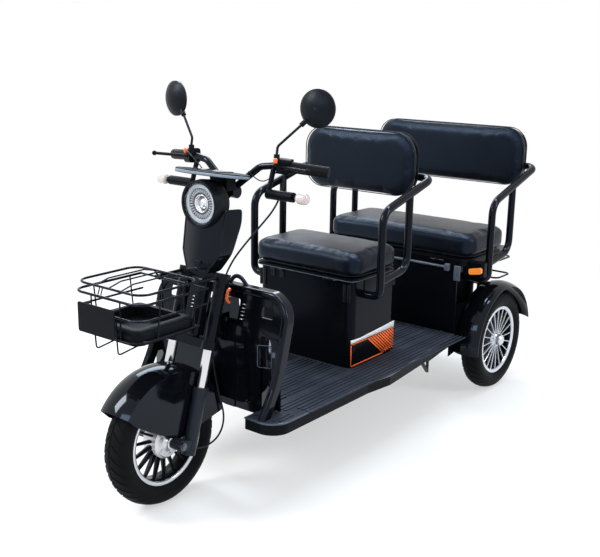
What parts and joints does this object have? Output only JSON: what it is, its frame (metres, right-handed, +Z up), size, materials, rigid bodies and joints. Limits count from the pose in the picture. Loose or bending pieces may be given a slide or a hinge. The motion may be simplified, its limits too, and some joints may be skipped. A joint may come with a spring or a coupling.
{
  "type": "electric tricycle",
  "caption": "Electric passenger tricycle with a steered front wheel, front basket, leg shield, flat floor, two bench seats over storage boxes and a rear wire rack.",
  "frame": {"origin": "on the ground below the middle of the whole vehicle's bounding box", "axes": "+Z up, -Y forward, +X to the rider's left"},
  "size_m": [0.776, 2.0477, 1.2569],
  "materials": {
    "aluminium": "cast",
    "battery": "case",
    "black_paint": "gloss powder coat",
    "black_plastic": "fine grain",
    "black_rim": "gloss",
    "cable_black": "sheath",
    "chrome": "polished",
    "clear_lens": "clear, faintly pink",
    "dash": "gloss",
    "floor_grey": "ribbed mat",
    "fork_grey": "satin",
    "gloss_black": "gloss",
    "lamp_glass": "clear",
    "orange": "gloss",
    "orange_lens": "lens",
    "plate_black": "blank",
    "red_lens": "lens",
    "rubber": "matt",
    "seat_leather": "grained",
    "silver_rim": "satin",
    "steel": "satin",
    "tyre": "matt rubber"
  },
  "bodies": {
    "chassis": {"backrest_shells": "black_plastic", "bag_hook": "orange", "battery_block": "battery", "brake_linkage": "black_paint", "drive_motor": "aluminium", "floor_deck": "floor_grey", "front_backrest": "seat_leather", "front_seat_arms": "black_paint", "front_seat_box": "gloss_black", "leg_shield_panel": "gloss_black", "leg_shield_rim": "gloss_black", "main_frame": "black_paint", "marker_lenses": "orange_lens", "rear_axle_housing": "black_paint", "rear_backrest": "seat_leather", "rear_mudguards": "gloss_black", "rear_rack": "black_paint", "rear_seat_arms": "black_paint", "rear_seat_box": "gloss_black", "rear_shocks": "black_paint", "seat_hinges": "steel", "tail_lamps": "red_lens"},
    "steering": {"fork_yokes": "black_paint", "fork_tubes": "chrome", "fork_sliders": "fork_grey", "front_axle": "steel", "front_mudguard": "gloss_black", "handlebar": "black_paint", "grips": "rubber", "hand_controls": "black_plastic", "mirrors": "black_plastic", "turn_signals": "black_plastic", "turn_signal_lenses": "clear_lens", "dash_panel": "dash", "headlamp_bucket": "black_plastic", "headlamp_lens": "lamp_glass", "lamp_fairing": "gloss_black", "basket_frame": "black_paint", "basket_tray": "black_plastic", "basket_plate": "plate_black", "brake_cable": "cable_black"},
    "basket_lid": {"basket_lid": "black_paint"},
    "front_wheel": {"front_tyre": "tyre", "front_rim": "black_rim"},
    "rear_wheel_left": {"rear_tyre_left": "tyre", "rear_rim_left": "silver_rim"},
    "rear_wheel_right": {"rear_tyre_right": "tyre", "rear_rim_right": "silver_rim"},
    "front_seat_lid": {"front_seat_pan": "black_plastic", "front_seat_cushion": "seat_leather"},
    "rear_seat_lid": {"rear_seat_pan": "black_plastic", "rear_seat_cushion": "seat_leather"}
  },
  "joints": [
    {"name": "steer", "type": "hinge", "parent": "chassis", "child": "steering", "pos_m": [0, -0.72772, 0.18626], "axis": [0, 0.284, 0.9588], "range_deg": [-35, 35]},
    {"name": "basket_lid_hinge", "type": "hinge", "parent": "steering", "child": "basket_lid", "pos_m": [0, -0.727, 0.692], "axis": [-1, 0, 0], "range_deg": [0, 80]},
    {"name": "front_wheel_spin", "type": "hinge", "parent": "steering", "child": "front_wheel", "pos_m": [0, -0.791, 0.205], "axis": [1, 0, 0], "continuous": true},
    {"name": "rear_left_spin", "type": "hinge", "parent": "chassis", "child": "rear_wheel_left", "pos_m": [0.311, 0.787, 0.205], "axis": [1, 0, 0], "continuous": true},
    {"name": "rear_right_spin", "type": "hinge", "parent": "chassis", "child": "rear_wheel_right", "pos_m": [-0.311, 0.787, 0.205], "axis": [1, 0, 0], "continuous": true},
    {"name": "front_seat_hinge", "type": "hinge", "parent": "chassis", "child": "front_seat_lid", "pos_m": [0, -0.093, 0.5925], "axis": [1, 0, 0], "range_deg": [0, 75]},
    {"name": "rear_seat_hinge", "type": "hinge", "parent": "chassis", "child": "rear_seat_lid", "pos_m": [0, 0.5, 0.5725], "axis": [1, 0, 0], "range_deg": [0, 75]}
  ]
}
